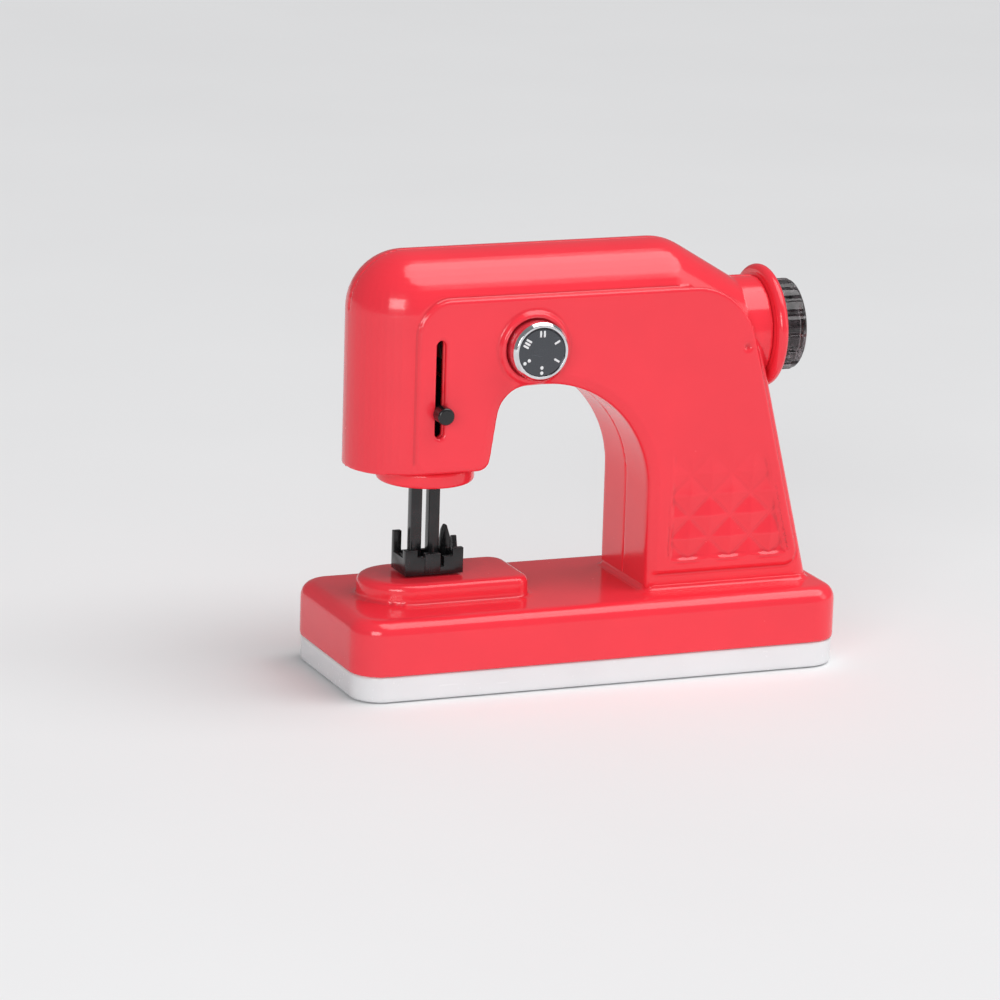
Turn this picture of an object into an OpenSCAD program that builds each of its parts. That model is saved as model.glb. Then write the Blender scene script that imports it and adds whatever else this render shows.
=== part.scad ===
// Toy sewing machine: a hollow two-shell body with an open arm on a flat base, a hand wheel and motor
// that share one drive shaft, and a crank that lifts a black foot under the head.
// Millimetres. X runs to the hand wheel, Y to the back, Z up. The origin is under the middle of the base.

/* [Base] */
// Length of the base
base_l = 210; // [200:1:230]
// Depth of the base
base_w = 80; // [76:1:95]
// Plan radius of the base's corners
base_corner_r = 13; // [10:0.5:18]
// Height of the white bottom cover
cover_h = 10.5; // [9:0.5:13]
// Height of the base's top face
base_h = 33; // [31:0.5:36]
// Radius of the base's top edge
base_edge_r = 6; // [3:0.5:7]
// Radius of the cover's bottom edge
cover_edge_r = 1.5; // [0.5:0.25:2.5]
// Step between the red base and the white cover
seam_step = 0.5; // [0.2:0.1:1]
// Half-round left end of the raised work platform
platform_x0 = -91; // [-94:0.5:-88]
// Right end of the raised work platform
platform_x1 = -23.5; // [-30:0.5:-18]
// Depth of the raised work platform
platform_w = 37; // [34:1:44]
// Height of the platform's top face
platform_h = 41.5; // [38:0.5:42]
// Radius of the platform's top edge
platform_edge_r = 3; // [1.5:0.25:4]

/* [Body] */
// Depth of the arm, head and column
body_w = 47; // [44:0.5:52]
// Wall of the moulded shells
wall = 2.2; // [1.8:0.1:2.6]
// Height of the arm's crest
crest_z = 174; // [172:0.5:180]
// Axis of the head's round left end
head_x = -74.5; // [-78:0.5:-72]
// Right end of the level crest
crest_x = 30; // [20:1:36]
// Underside of the head
head_z = 87.3; // [86:0.1:90]
// Head's right wall at its underside
head_right_x = -45.7; // [-47:0.1:-44.5]
// Head's right wall at the arch
head_arch_x = -40.8; // [-43:0.1:-38]
// Top of the arch under the arm
arch_z = 121; // [118:0.5:123]
// Column's left wall in the throat
throat_x = 23.5; // [20:0.5:25]
// Radius of the arch beside the column
arch_r = 46; // [38:1:50]
// Radius of the arch beside the head
arch_head_r = 13; // [8:0.5:16]
// Radius of the head's lower right corner
head_corner_r = 4.8; // [2.6:0.1:5.5]
// Column's right side at the base
column_right_x = 96.6; // [92:0.2:98]
// Column's right side at the wheel's axis
shoulder_x = 71.6; // [70:0.2:75]
// Radius of the column's upright edges
column_edge_r = 6; // [3.5:0.5:8]

/* [Front panel] */
// Height of the raised front panel above the shell
panel_rise = 0.8; // [0.4:0.1:1.5]
// Left border of the panel
panel_x0 = -77; // [-80:0.5:-74]
// Right border of the panel inside the column's side
panel_side = 3.6; // [2.5:0.1:6]
// Top border of the panel
panel_top = 157.4; // [154:0.2:160]
// Bottom border of the panel
panel_bottom = 40.5; // [38:0.5:44]
// Border left free along the throat
panel_throat = 3.3; // [2.5:0.1:5]
// Half diagonal of one quilted diamond
quilt_r = 9; // [7:0.5:12]
// Depth of the quilted field at its foot
quilt_depth = 1.4; // [0.5:0.1:1.6]
// Width of the lever's slot
slot_w = 3.9; // [3.6:0.1:5]
// Lower end of the lever's slot
slot_z0 = 102; // [100:0.5:106]
// Upper end of the lever's slot
slot_z1 = 141.5; // [139:0.5:145]

/* [Drive] */
// Height of the drive shaft
axis_z = 135; // [134:0.5:137]
// Diameter of the drive shaft
shaft_d = 4; // [3:0.1:5]
// Radial clearance of a shaft in its bearing
run_clear = 0.05; // [0.03:0.01:0.08]
// Side clearance between moving pieces and guides
slide_clear = 0.15; // [0.1:0.01:0.3]
// Crank radius, half of the needle stroke
crank_r = 12; // [9:0.5:12]
// Gear module
gear_m = 0.8; // [0.7:0.05:0.8]
// Teeth of a wheel
wheel_teeth = 36; // [32:4:36]
// Teeth of a pinion
pinion_teeth = 12; // [12:4:12]
// Thickness of a gear
gear_t = 4; // [3:0.25:4.5]
// Diameter of the motor can
motor_d = 20; // [16:0.5:21]
// Length of the motor can
motor_l = 20; // [16:0.5:20.5]
// Radius of the hand wheel's rim
rim_r = 25; // [23:0.5:27]
// Radius of the fixed barrel behind the hand wheel
barrel_r = 21; // [19:0.5:21.5]
// Radius of the clear knob
knob_r = 18.6; // [16:0.2:19]
// Outer end of the clear knob
knob_x = 93.5; // [92:0.5:104]

/* [Needle] */
// Axis of the foot and its bars
needle_x = -64; // [-65:0.5:-63]
// Side of a square bar
bar_s = 4.6; // [4:0.1:5]
// Distance between the two bars
bar_pitch = 7.6; // [7:0.1:8]
// Width of the foot
foot_w = 24.8; // [22:0.1:25.4]
// Depth of the foot
foot_d = 16; // [15:0.5:17]
// Gap between the lowered foot and the platform
foot_gap = 0.8; // [0.5:0.1:1.5]
// Outer radius of the head's collar
collar_r = 19.7; // [19:0.1:21]
// Underside of the collar
collar_z = 80.3; // [79:0.1:81]

/* [Dial] */
// Place of the dial along the arm
dial_x = -28.6; // [-30:0.1:-24]
// Height of the dial's axis
dial_z = 136.7; // [135:0.1:139]
// Radius of the raised ring round the dial
ring_r = 14.6; // [14:0.1:16]
// Radius of the chrome knob
dial_r = 11.9; // [10.5:0.1:12.2]
// Height of the chrome knob
dial_h = 8.5; // [7:0.25:9]
// Diameter of the dial's spindle
spindle_d = 6; // [4:0.1:7]

/* [Hidden] */
$fn = 48;
eps = 0.01;
half_w = body_w / 2;
dome_z = crest_z - half_w;
front_y = -half_w;
panel_y = front_y - panel_rise;
inner_y = half_w - wall;
side_slope = (column_right_x - shoulder_x) / (axis_z - base_h);
function side_x(z) = column_right_x - side_slope * (z - base_h);
head_slope = (head_arch_x - head_right_x) / (arch_z - head_z);
stroke = 2 * crank_r;
shoulder_top = side_x(axis_z + barrel_r);

// Base interior and fasteners
plate_t = 2.4;
cover_floor = 2;
screw_d = 3;
screw_head_d = 5.6;
screw_head_h = 2;
boss_r = 4;
base_screw_l = 18;
edge_inset = wall + base_edge_r / 4;
platform_corner_r = 7;
base_boss_x = base_l / 2 - base_corner_r;
base_boss_y = base_w / 2 - base_corner_r;
battery_x = -8;
battery_l = 62;
battery_w = 50;
battery_h = 19;
box_wall = 1.6;
cell_pitch = 15;
contact_w = 9;
contact_h = 10;
contact_t = 0.5;
door_lip = 3;
door_t = 1.6;
door_clear = 0.3;
door_screw_x = battery_x + battery_l / 2 - box_wall - 4;
door_screw_l = 9;
door_head_r = 2.5;
door_head_h = 0.8;
jack_x = 60;
jack_z = (cover_h + base_h) / 2 - 1.75;
jack_bore_d = 3.6;
jack_r = 4.2;
jack_flange_r = 5.6;
jack_flange_t = 1.2;
jack_l = 14;
jack_end = 1.5;

// Shell fasteners, on the front face: X and Z
shell_bosses = [[-78, 102], [-78, 150], [5, 150], [42, 150], [34, 52], [82, 50]];
column_bosses = [48, 72];
column_boss_y = half_w - wall - boss_r - 1;
column_boss_h = 12;
dimple_z = 132;
dimple_in = 4;
panel_corner_r = 5;
panel_shoulder_r = 28;
panel_head_r = 14;
wire_hole_x = 60;
wire_hole_r = 8;

// Gear train: wheel over pinion twice
pitch_wheel = gear_m * wheel_teeth / 2;
pitch_pinion = gear_m * pinion_teeth / 2;
gear_c = pitch_wheel + pitch_pinion;
pressure = 20;
addendum = 0.8 * gear_m;
dedendum = 1.1 * gear_m;
backlash = 0.2;
idler_z = axis_z - gear_c;
motor_z = idler_z - gear_c;
frame_t = 2;
gear_gap = 1.5;
frame_right_x = shoulder_x - wall - 2.7;
main_gear_x = frame_right_x - frame_t - gear_gap - gear_t - 2;
big_idler_x = main_gear_x - gear_gap - gear_t - 1;
frame_left_x = big_idler_x - gear_gap - frame_t;
frame_r = pitch_wheel + addendum + 0.5;
frame_bottom = motor_z - motor_d / 2 - 4;
idler_pin_d = 3;
motor_shaft_d = 2;
post_r = 2.5;
post_y = frame_r - post_r - 0.5;
frame_posts = [[-post_y, frame_bottom + 4], [post_y, frame_bottom + 4]];

// Hand wheel along the shaft
wheel_gap = 0.5;
rim_t = 5;
barrel_x = side_x(axis_z - rim_r + rim_t / 2);
wheel_x0 = barrel_x + wheel_gap;
rim_x1 = wheel_x0 + rim_t;
knob_flutes = 16;
cap_r = 5;

// Crank and needle carriage
disc_t = 4;
disc_r = crank_r + 3;
crank_pin_d = 4;
yoke_t = 4;
yoke_gap = 0.4;
yoke_x1 = needle_x + bar_pitch / 2 + bar_s / 2 - 0.1;
yoke_x0 = yoke_x1 - yoke_t;
pin_end_x = yoke_x1 + yoke_gap;
disc_x0 = pin_end_x + 3.6;
disc_x1 = disc_x0 + disc_t;
yoke_z = axis_z - crank_r;
yoke_half = crank_r + 6;
yoke_h = crank_pin_d + 7;
block_x0 = needle_x - bar_pitch / 2 - bar_s / 2 - 1.6;
block_z = 99;
block_h = 8;
block_y = 5;
bearing_x = disc_x1 + 1;
bearing_t = 3;
bearing_foot = arch_z - 17;
bearing_corner_r = 6;
bush_r = 5;
bush_l = 5;
lever_x = -67.6;
lever_z = 112.5;
lever_w = slot_w - 1;
lever_h = 5;
lever_knob_r = 3.5;
lever_knob_l = 7;
lever_gap = 1;

// Foot and collar
foot_z = platform_h + foot_gap;
foot_wall = 2.4;
foot_floor = 3;
foot_shift = 2;
foot_side_h = 7;
foot_post_h = 10.5;
foot_rear_h = 15.5;
foot_horn_h = 16.5;
foot_proud = 0.6;
collar_h = 6.4;
neck_r = collar_r - 2.4;
collar_bore_r = 15.8;
spigot_r = 17;
spigot_z = head_z + wall + 1;
guide_h = 5.5;
guide_r = collar_bore_r + 0.6;

// Dial, sunk in its ring, and the switch behind it
ring_h = 3;
dial_pocket = 2.4;
dial_gap = 0.3;
dial_side = 0.5;
dial_y = front_y - ring_h + dial_pocket - dial_gap;
switch_r = 9;
switch_l = 9;

// Corner of an outline: where its arc starts and ends, and its centre
function unit(v) = v / norm(v);
function flat(c) = [c[0], c[1]];
function half_angle(p, q, n) = acos(unit(flat(p) - flat(q)) * unit(flat(n) - flat(q))) / 2;
function arc_start(p, q, n) = flat(q) + unit(flat(p) - flat(q)) * q[2] / tan(half_angle(p, q, n));
function arc_centre(p, q, n) = flat(q)
    + unit(unit(flat(p) - flat(q)) + unit(flat(n) - flat(q))) * q[2] / sin(half_angle(p, q, n));
function turns_left(p, q, n) = cross(flat(q) - flat(p), flat(n) - flat(q)) > 0;

// An outline of straight sides whose corners [x, y, radius] are true arcs, listed anticlockwise
module rounded_outline(corners) {
    count = len(corners);
    trios = [for (i = [0 : count - 1])
        [corners[(i + count - 1) % count], corners[i], corners[(i + 1) % count]]];
    chords = [for (t = trios) each t[1][2] > 0
        ? [arc_start(t[0], t[1], t[2]), arc_start(t[2], t[1], t[0])]
        : [flat(t[1])]];
    difference() {
        union() {
            polygon(chords);
            for (t = trios)
                if (t[1][2] > 0 && turns_left(t[0], t[1], t[2]))
                    corner_sector(t);
        }
        for (t = trios)
            if (t[1][2] > 0 && !turns_left(t[0], t[1], t[2]))
                translate(arc_centre(t[0], t[1], t[2])) circle(t[1][2]);
    }
}

module corner_sector(t) {
    centre = arc_centre(t[0], t[1], t[2]);
    intersection() {
        translate(centre) circle(t[1][2]);
        polygon([centre, arc_start(t[0], t[1], t[2]), flat(t[1]), arc_start(t[2], t[1], t[0])]);
    }
}

// Stands an XZ outline up between two depths
module upright(y0, y1) {
    translate([0, y1, 0]) rotate([90, 0, 0]) linear_extrude(y1 - y0) children();
}

// Turns a YZ outline into a plate between two places on X
module plate_x(x0, x1) {
    translate([x0, 0, 0]) rotate([90, 0, 90]) linear_extrude(x1 - x0) children();
}

module rod_x(x0, x1, r, z = axis_z, y = 0) {
    translate([x0, y, z]) rotate([0, 90, 0]) cylinder(r = r, h = x1 - x0);
}

module rod_y(y0, y1, r, x, z) {
    translate([x, y1, z]) rotate([90, 0, 0]) cylinder(r = r, h = y1 - y0);
}

module plan(l, w, r, x = 0) {
    rounded_outline([[x - l / 2, -w / 2, r], [x + l / 2, -w / 2, r],
        [x + l / 2, w / 2, r], [x - l / 2, w / 2, r]]);
}

// A round post with a rounded upper edge
module soft_post(r, h, edge_r) {
    rotate_extrude() {
        square([r - edge_r, h]);
        square([r, h - edge_r]);
        translate([r - edge_r, h - edge_r]) circle(edge_r, $fn = 32);
    }
}

// A slab with a rounded upper edge
module soft_slab(x0, x1, w, z0, z1, corner_r, edge_r) {
    hull()
        for (x = [x0 + corner_r, x1 - corner_r], y = [-1, 1] * (w / 2 - corner_r))
            translate([x, y, z0]) soft_post(corner_r, z1 - z0, edge_r);
}

// Raised work platform with a half-round left end
module platform(z0) {
    hull() {
        translate([platform_x0 + platform_w / 2, 0, z0])
            soft_post(platform_w / 2, platform_h - z0, platform_edge_r);
        for (y = [-1, 1] * (platform_w / 2 - platform_corner_r))
            translate([platform_x1 - platform_corner_r, y, z0])
                soft_post(platform_corner_r, platform_h - z0, platform_edge_r);
    }
}

// Hollow under the platform
module platform_hollow(inset) {
    middle = platform_x0 + platform_w / 2;
    translate([middle, 0]) circle(platform_w / 2 - inset - 1);
    translate([middle, inset - platform_w / 2])
        square([platform_x1 - inset - middle, platform_w - 2 * inset]);
}

// One step of the hollow base, left open round the screw posts
module base_hollow(z0, z1, inset) {
    translate([0, 0, z0]) linear_extrude(z1 - z0) difference() {
        plan(base_l - 2 * inset, base_w - 2 * inset, base_corner_r - inset);
        for (x = [-1, 1] * base_boss_x, y = [-1, 1] * base_boss_y) translate([x, y]) circle(boss_r);
    }
}

// Everything below the head and inside the throat, grown by d
module throat(d = 0, corner_r = head_corner_r) {
    lean = d * sqrt(1 + head_slope * head_slope) - head_slope * d;
    far = 2 * base_l;
    rounded_outline([[-far, -far, 0], [throat_x + d, -far, 0], [throat_x + d, arch_z + d, arch_r + d],
        [head_arch_x - lean, arch_z + d, arch_head_r + d],
        [head_right_x - lean, head_z + d, max(corner_r - d, 0.3)], [-far, head_z + d, 0]]);
}

// The body's full form without its throat, shrunk by d
module body_form(d = 0) {
    post_top = axis_z - 7;
    hull() {
        translate([head_x, 0, dome_z]) sphere(half_w - d);
        translate([crest_x, 0, dome_z]) sphere(half_w - d);
        translate([head_x, 0, base_h]) cylinder(r = half_w - d, h = dome_z - base_h);
        rod_x(shoulder_top - 8, shoulder_top - d, barrel_r - d);
        for (y = [-1, 1] * (half_w - column_edge_r), z = [base_h - 10, post_top])
            translate([side_x(z) - column_edge_r, y, z]) sphere(column_edge_r - d, $fn = 32);
    }
}

// Hollow body before it is parted along its middle
module body_shell() {
    difference() {
        union() {
            body_form();
            rod_x(shoulder_top - 3, barrel_x, barrel_r);
        }
        upright(-body_w, body_w) throat();
        difference() {
            body_form(wall);
            upright(-body_w, body_w) throat(wall);
        }
        rod_x(shoulder_top - 3, barrel_x - wall, barrel_r - wall);
        cube([2 * base_l, 2 * body_w, 2 * base_h], center = true);
        translate([needle_x, 0, head_z - 1]) cylinder(r = spigot_r + run_clear, h = wall + 3);
        rod_x(barrel_x - wall - 1, barrel_x + 1, shaft_d / 2 + run_clear);
    }
}

module half_space(side) {
    translate([-base_l, side < 0 ? -2 * base_w : 0, 0]) cube([2 * base_l, 2 * base_w, 2 * crest_z]);
}

// Screw posts, gearbox ledges and foot tabs inside one half of the body
module shell_posts(side) {
    for (p = shell_bosses)
        rod_y(min(0, side * (inner_y + 0.6)), max(0, side * (inner_y + 0.6)), boss_r, p[0], p[1]);
    for (x = column_bosses) {
        translate([x, side * column_boss_y, base_h]) cylinder(r = boss_r, h = column_boss_h);
        translate([x - boss_r / 2, side < 0 ? -inner_y - 1 : column_boss_y, base_h])
            cube([boss_r, inner_y + 1 - column_boss_y, column_boss_h]);
    }
    for (x = [frame_left_x, frame_right_x - frame_t])
        translate([x - 1, side < 0 ? -inner_y - 1 : frame_r + slide_clear, frame_bottom])
            cube([frame_t + 2, inner_y + 1 - frame_r - slide_clear, 24]);
}

module panel_outline() {
    r = side_x(panel_bottom) - panel_side;
    t = side_x(panel_top) - panel_side;
    rounded_outline([[panel_x0, panel_bottom, panel_corner_r], [r, panel_bottom, panel_corner_r],
        [t, panel_top, panel_shoulder_r], [panel_x0, panel_top, panel_head_r]]);
}

module front_panel() {
    upright(panel_y, front_y + wall - 0.4) difference() {
        panel_outline();
        throat(panel_throat, panel_throat);
    }
    upright(panel_y, front_y + wall - 0.4)
        translate([panel_x0, head_z + 1.2])
        square([head_right_x - panel_x0 - panel_throat, panel_throat + 4]);
    translate([dial_x, front_y, dial_z]) rotate([90, 0, 0]) rotate_extrude() difference() {
        translate([0, -1]) square([ring_r, ring_h + 1]);
        translate([ring_r - 1.5, ring_h - 1.5]) difference() {
            square(3);
            circle(1.5);
        }
    }
}

// Field of low pyramids that fades out towards its top
module quilt_field() {
    field_top = 84;
    field_l = throat_x + 9;
    tilt = atan(quilt_depth / (field_top - panel_bottom - 4));
    difference() {
        translate([0, panel_y, panel_bottom + 4]) rotate([tilt, 0, 0]) translate([0, quilt_depth, 0])
            upright(-8, 0) polygon([[field_l, 0], [side_x(panel_bottom) - panel_side - 4, 0],
                [side_x(field_top) - panel_side - 4, field_top - panel_bottom],
                [field_l, field_top - panel_bottom]]);
        for (i = [0 : 4], j = [0 : 4])
            translate([field_l + (2 * i + j % 2) * quilt_r, panel_y + quilt_depth + 0.3,
                panel_bottom + 4 + j * quilt_r])
                rotate([90, 0, 0]) cylinder(r1 = quilt_r, r2 = 0, h = quilt_depth + 0.2, $fn = 4);
    }
}

module front_shell() color([0.93, 0.17, 0.2]) difference() {
    union() {
        intersection() {
            body_shell();
            half_space(-1);
        }
        front_panel();
        shell_posts(-1);
    }
    for (p = shell_bosses) rod_y(-inner_y + 2, 1, screw_d / 2, p[0], p[1]);
    for (x = column_bosses) translate([x, -column_boss_y, base_h - 1]) cylinder(d = screw_d, h = column_boss_h);
    quilt_field();
    rod_y(panel_y - 3, 0, spindle_d / 2 + run_clear, dial_x, dial_z);
    rod_y(front_y - ring_h - 1, front_y - ring_h + dial_pocket, dial_r + dial_side, dial_x, dial_z);
    upright(panel_y - 1, front_y + wall + 1) translate([lever_x, 0]) {
        translate([-slot_w / 2, slot_z0 + slot_w / 2]) square([slot_w, slot_z1 - slot_z0 - slot_w]);
        for (z = [slot_z0, slot_z1 - slot_w]) translate([0, z + slot_w / 2]) circle(d = slot_w);
    }
    rod_y(panel_y - 1, panel_y + 0.6, 1.6, side_x(dimple_z) - panel_side - dimple_in, dimple_z);
}

module rear_shell() color([0.9, 0.16, 0.19]) difference() {
    union() {
        intersection() {
            body_shell();
            half_space(1);
        }
        shell_posts(1);
    }
    for (p = shell_bosses) {
        rod_y(-1, inner_y + wall + 1, screw_d / 2 + run_clear, p[0], p[1]);
        rod_y(inner_y - 4, inner_y + wall + 1, screw_head_d / 2 + 0.4, p[0], p[1]);
    }
    for (x = column_bosses) translate([x, column_boss_y, base_h - 1]) cylinder(d = screw_d, h = column_boss_h);
}

module screw_y(x, z, head_y, tip_y) {
    rod_y(head_y, head_y + screw_head_h, screw_head_d / 2, x, z);
    rod_y(tip_y, head_y + eps, screw_d / 2, x, z);
}

module shell_screws() color("silver") for (p = shell_bosses)
    difference() {
        screw_y(p[0], p[1], inner_y - 4, -inner_y + 4);
        translate([p[0], inner_y - 4 + screw_head_h, p[1]]) cube([screw_head_d, 1.6, 0.9], center = true);
        translate([p[0], inner_y - 4 + screw_head_h, p[1]]) cube([0.9, 1.6, screw_head_d], center = true);
    }

module base_shell() color([0.93, 0.17, 0.2]) difference() {
    union() {
        soft_slab(-base_l / 2, base_l / 2, base_w, cover_h, base_h, base_corner_r, base_edge_r);
        platform(base_h - 2);
    }
    base_hollow(cover_h - 1, base_h - base_edge_r, wall);
    base_hollow(cover_h, base_h - plate_t, edge_inset);
    translate([0, 0, base_h - plate_t - 1]) linear_extrude(platform_h - base_h + 1)
        platform_hollow(platform_edge_r + 1);
    for (x = [-1, 1] * base_boss_x, y = [-1, 1] * base_boss_y)
        translate([x, y, cover_h - 2]) cylinder(d = screw_d, h = base_h - plate_t - cover_h);
    for (x = column_bosses, y = [-1, 1] * column_boss_y)
        translate([x, y, base_h - plate_t - 1]) cylinder(r = screw_d / 2 + run_clear, h = plate_t + 2);
    translate([wire_hole_x, 0, base_h - plate_t - 1]) cylinder(r = wire_hole_r, h = plate_t + 2);
    rod_y(base_w / 2 - wall - 1, base_w / 2 + 1, jack_r, jack_x, jack_z);
    rod_y(base_w / 2 - jack_flange_t, base_w / 2 + 1, jack_flange_r, jack_x, jack_z);
    rod_y(base_w / 2 - wall - 3, base_w / 2 - wall, jack_flange_r + run_clear, jack_x, jack_z);
}

module column_screws() color("silver") for (x = column_bosses, y = [-1, 1] * column_boss_y)
    translate([x, y, base_h - plate_t]) {
        translate([0, 0, -screw_head_h]) cylinder(d = screw_head_d, h = screw_head_h);
        cylinder(d = screw_d, h = column_boss_h - 2);
    }

module base_cover() color([0.95, 0.95, 0.96]) difference() {
    union() {
        mirror([0, 0, 1]) soft_slab(-base_l / 2 + seam_step, base_l / 2 - seam_step, base_w - 2 * seam_step,
            -cover_h, 0, base_corner_r - seam_step, cover_edge_r);
        translate([0, 0, cover_h - eps]) linear_extrude(2)
            plan(base_l - 2 * wall - 2 * slide_clear, base_w - 2 * wall - 2 * slide_clear,
                base_corner_r - wall - slide_clear);
    }
    translate([0, 0, cover_floor]) linear_extrude(cover_h + 2) difference() {
        plan(base_l - 4 * wall, base_w - 4 * wall, base_corner_r - 2 * wall);
        for (x = [-1, 1] * base_boss_x, y = [-1, 1] * base_boss_y) translate([x, y]) circle(boss_r + 2);
    }
    for (x = [-1, 1] * base_boss_x, y = [-1, 1] * base_boss_y) translate([x, y, 0]) {
        translate([0, 0, -1]) cylinder(r = screw_d / 2 + run_clear, h = cover_h + 4);
        translate([0, 0, -1]) cylinder(r = screw_head_d / 2 + 0.4, h = 5);
        translate([0, 0, cover_h]) cylinder(r = boss_r + 3, h = 4);
    }
    translate([battery_x, 0, -1]) linear_extrude(cover_floor + 2)
        plan(battery_l - 2 * box_wall - 2 * door_lip, battery_w - 2 * box_wall - 2 * door_lip, 2);
    translate([battery_x, 0, -1]) linear_extrude(door_t + 1)
        plan(battery_l - 2 * box_wall, battery_w - 2 * box_wall, 3);
    translate([door_screw_x, 0, -1]) cylinder(r = screw_d / 2 + run_clear, h = cover_floor + 2);
}

module base_screws() color("silver") for (x = [-1, 1] * base_boss_x, y = [-1, 1] * base_boss_y)
    translate([x, y, 4]) {
        translate([0, 0, -screw_head_h]) cylinder(d = screw_head_d, h = screw_head_h);
        cylinder(d = screw_d, h = base_screw_l);
    }

module battery_box() color([0.2, 0.2, 0.22]) {
    difference() {
        translate([battery_x, 0, cover_floor]) linear_extrude(battery_h) plan(battery_l, battery_w, 3);
        translate([battery_x, 0, cover_floor - 1]) linear_extrude(battery_h + 1 - box_wall)
            plan(battery_l - 2 * box_wall, battery_w - 2 * box_wall, 2);
    }
    translate([door_screw_x, 0, cover_floor]) linear_extrude(battery_h - 1) difference() {
        union() {
            circle(3.2);
            translate([0, -1]) square([5, 2]);
        }
        circle(d = screw_d);
    }
}

module battery_door() color([0.93, 0.93, 0.94]) difference() {
    union() {
        translate([battery_x, 0, 0]) linear_extrude(door_t)
            plan(battery_l - 2 * box_wall - 2 * door_clear, battery_w - 2 * box_wall - 2 * door_clear,
                3 - door_clear);
        for (y = [-12, 12])
            translate([battery_x - battery_l / 2 + box_wall + door_lip + door_clear, y - 4, door_t - eps])
                cube([6, 8, 1.2]);
    }
    translate([door_screw_x, 0, -1]) {
        cylinder(r = screw_d / 2 + run_clear, h = 5);
        cylinder(r = door_head_r + slide_clear, h = door_head_h + 1.1);
    }
    for (i = [0 : 4])
        translate([battery_x - battery_l / 2 + 9 + 3 * i, -10, -0.6]) cube([1.4, 20, 1.2]);
}

module door_screw() color("silver") translate([door_screw_x, 0, 0.1]) difference() {
    union() {
        cylinder(r = door_head_r, h = door_head_h);
        cylinder(d = screw_d, h = door_screw_l);
    }
    cube([2 * door_head_r, 0.9, 1], center = true);
}

module battery_contacts() color("silver") for (x = [-1, 1], y = x > 0 ? [-1, 1] : [-1, 0, 1])
    translate([battery_x + x * (battery_l / 2 - box_wall) - (x > 0 ? contact_t : 0),
        y * cell_pitch - contact_w / 2, cover_floor + 3]) cube([contact_t, contact_w, contact_h]);

module rear_jack() color([0.12, 0.12, 0.13]) difference() {
    union() {
        rod_y(base_w / 2 - jack_l, base_w / 2, jack_r - run_clear, jack_x, jack_z);
        rod_y(base_w / 2 - jack_flange_t, base_w / 2, jack_flange_r - run_clear, jack_x, jack_z);
        rod_y(base_w / 2 - wall - 2, base_w / 2 - wall, jack_flange_r, jack_x, jack_z);
    }
    rod_y(base_w / 2 - jack_l + jack_end, base_w / 2 + 1, jack_bore_d / 2, jack_x, jack_z);
}

module head_collar() color([0.9, 0.16, 0.19]) translate([needle_x, 0, 0]) rotate_extrude() difference() {
    union() {
        translate([collar_bore_r, collar_z]) square([collar_r - collar_bore_r - 1.5, collar_h]);
        translate([collar_bore_r, collar_z + 1.5]) square([collar_r - collar_bore_r, collar_h - 3]);
        for (z = [1.5, collar_h - 1.5]) translate([collar_r - 1.5, collar_z + z]) circle(1.5, $fn = 32);
        translate([collar_bore_r, collar_z]) square([neck_r - collar_bore_r, head_z - collar_z]);
        translate([collar_bore_r, collar_z]) square([spigot_r - collar_bore_r, spigot_z - collar_z]);
    }
}

module bar_sections(grow) {
    for (x = [-1, 1] * bar_pitch / 2)
        translate([needle_x + x, 0]) square(bar_s + 2 * grow, center = true);
}

module bar_guide() color([0.16, 0.16, 0.17]) translate([0, 0, spigot_z]) linear_extrude(guide_h) difference() {
    translate([needle_x, 0]) circle(guide_r);
    bar_sections(slide_clear);
}

module head_bearing() color([0.85, 0.85, 0.83]) difference() {
    union() {
        plate_x(bearing_x, bearing_x + bearing_t) rounded_outline([[-inner_y + 0.3, bearing_foot, 2],
            [inner_y - 0.3, bearing_foot, 2], [inner_y - 0.3, dome_z, bearing_corner_r],
            [-inner_y + 0.3, dome_z, bearing_corner_r]]);
        rod_x(bearing_x, bearing_x + bearing_t + bush_l, bush_r);
    }
    rod_x(bearing_x - 1, bearing_x + bearing_t + bush_l + 1, shaft_d / 2 + run_clear);
}

// One gearbox plate: a round top about the drive shaft on a straight foot
module frame_plate(x0) {
    plate_x(x0, x0 + frame_t) {
        translate([0, axis_z]) circle(frame_r);
        translate([-frame_r, frame_bottom]) square([2 * frame_r, axis_z - frame_bottom]);
    }
}

module gearbox_left_plate() color([0.86, 0.86, 0.84]) difference() {
    frame_plate(frame_left_x);
    rod_x(frame_left_x - 1, frame_left_x + frame_t + 1, shaft_d / 2 + run_clear);
    rod_x(frame_left_x - 1, frame_left_x + frame_t + 1, idler_pin_d / 2, idler_z);
    rod_x(frame_left_x - 1, frame_left_x + frame_t + 1, 3, motor_z);
    for (p = frame_posts) rod_x(frame_left_x - 1, frame_left_x + frame_t + 1, screw_d / 2, p[1], p[0]);
}

module gearbox_right_plate() color([0.86, 0.86, 0.84]) difference() {
    frame_plate(frame_right_x - frame_t);
    rod_x(frame_right_x - frame_t - 1, frame_right_x + 1, shaft_d / 2 + run_clear);
    rod_x(frame_right_x - frame_t - 1, frame_right_x + 1, idler_pin_d / 2, idler_z);
    for (y = [-6, 6], z = [frame_bottom + 12, frame_bottom + 24])
        rod_x(frame_right_x - frame_t - 1, frame_right_x + 1, 3.5, z, y);
}

module gearbox_posts() color([0.8, 0.8, 0.78]) for (p = frame_posts) {
    rod_x(frame_left_x + frame_t, frame_right_x - frame_t, post_r, p[1], p[0]);
    rod_x(frame_left_x, frame_left_x + frame_t + eps, screw_d / 2, p[1], p[0]);
}

module idler_pin() color("silver")
    rod_x(frame_left_x, frame_right_x, idler_pin_d / 2, idler_z);

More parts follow.
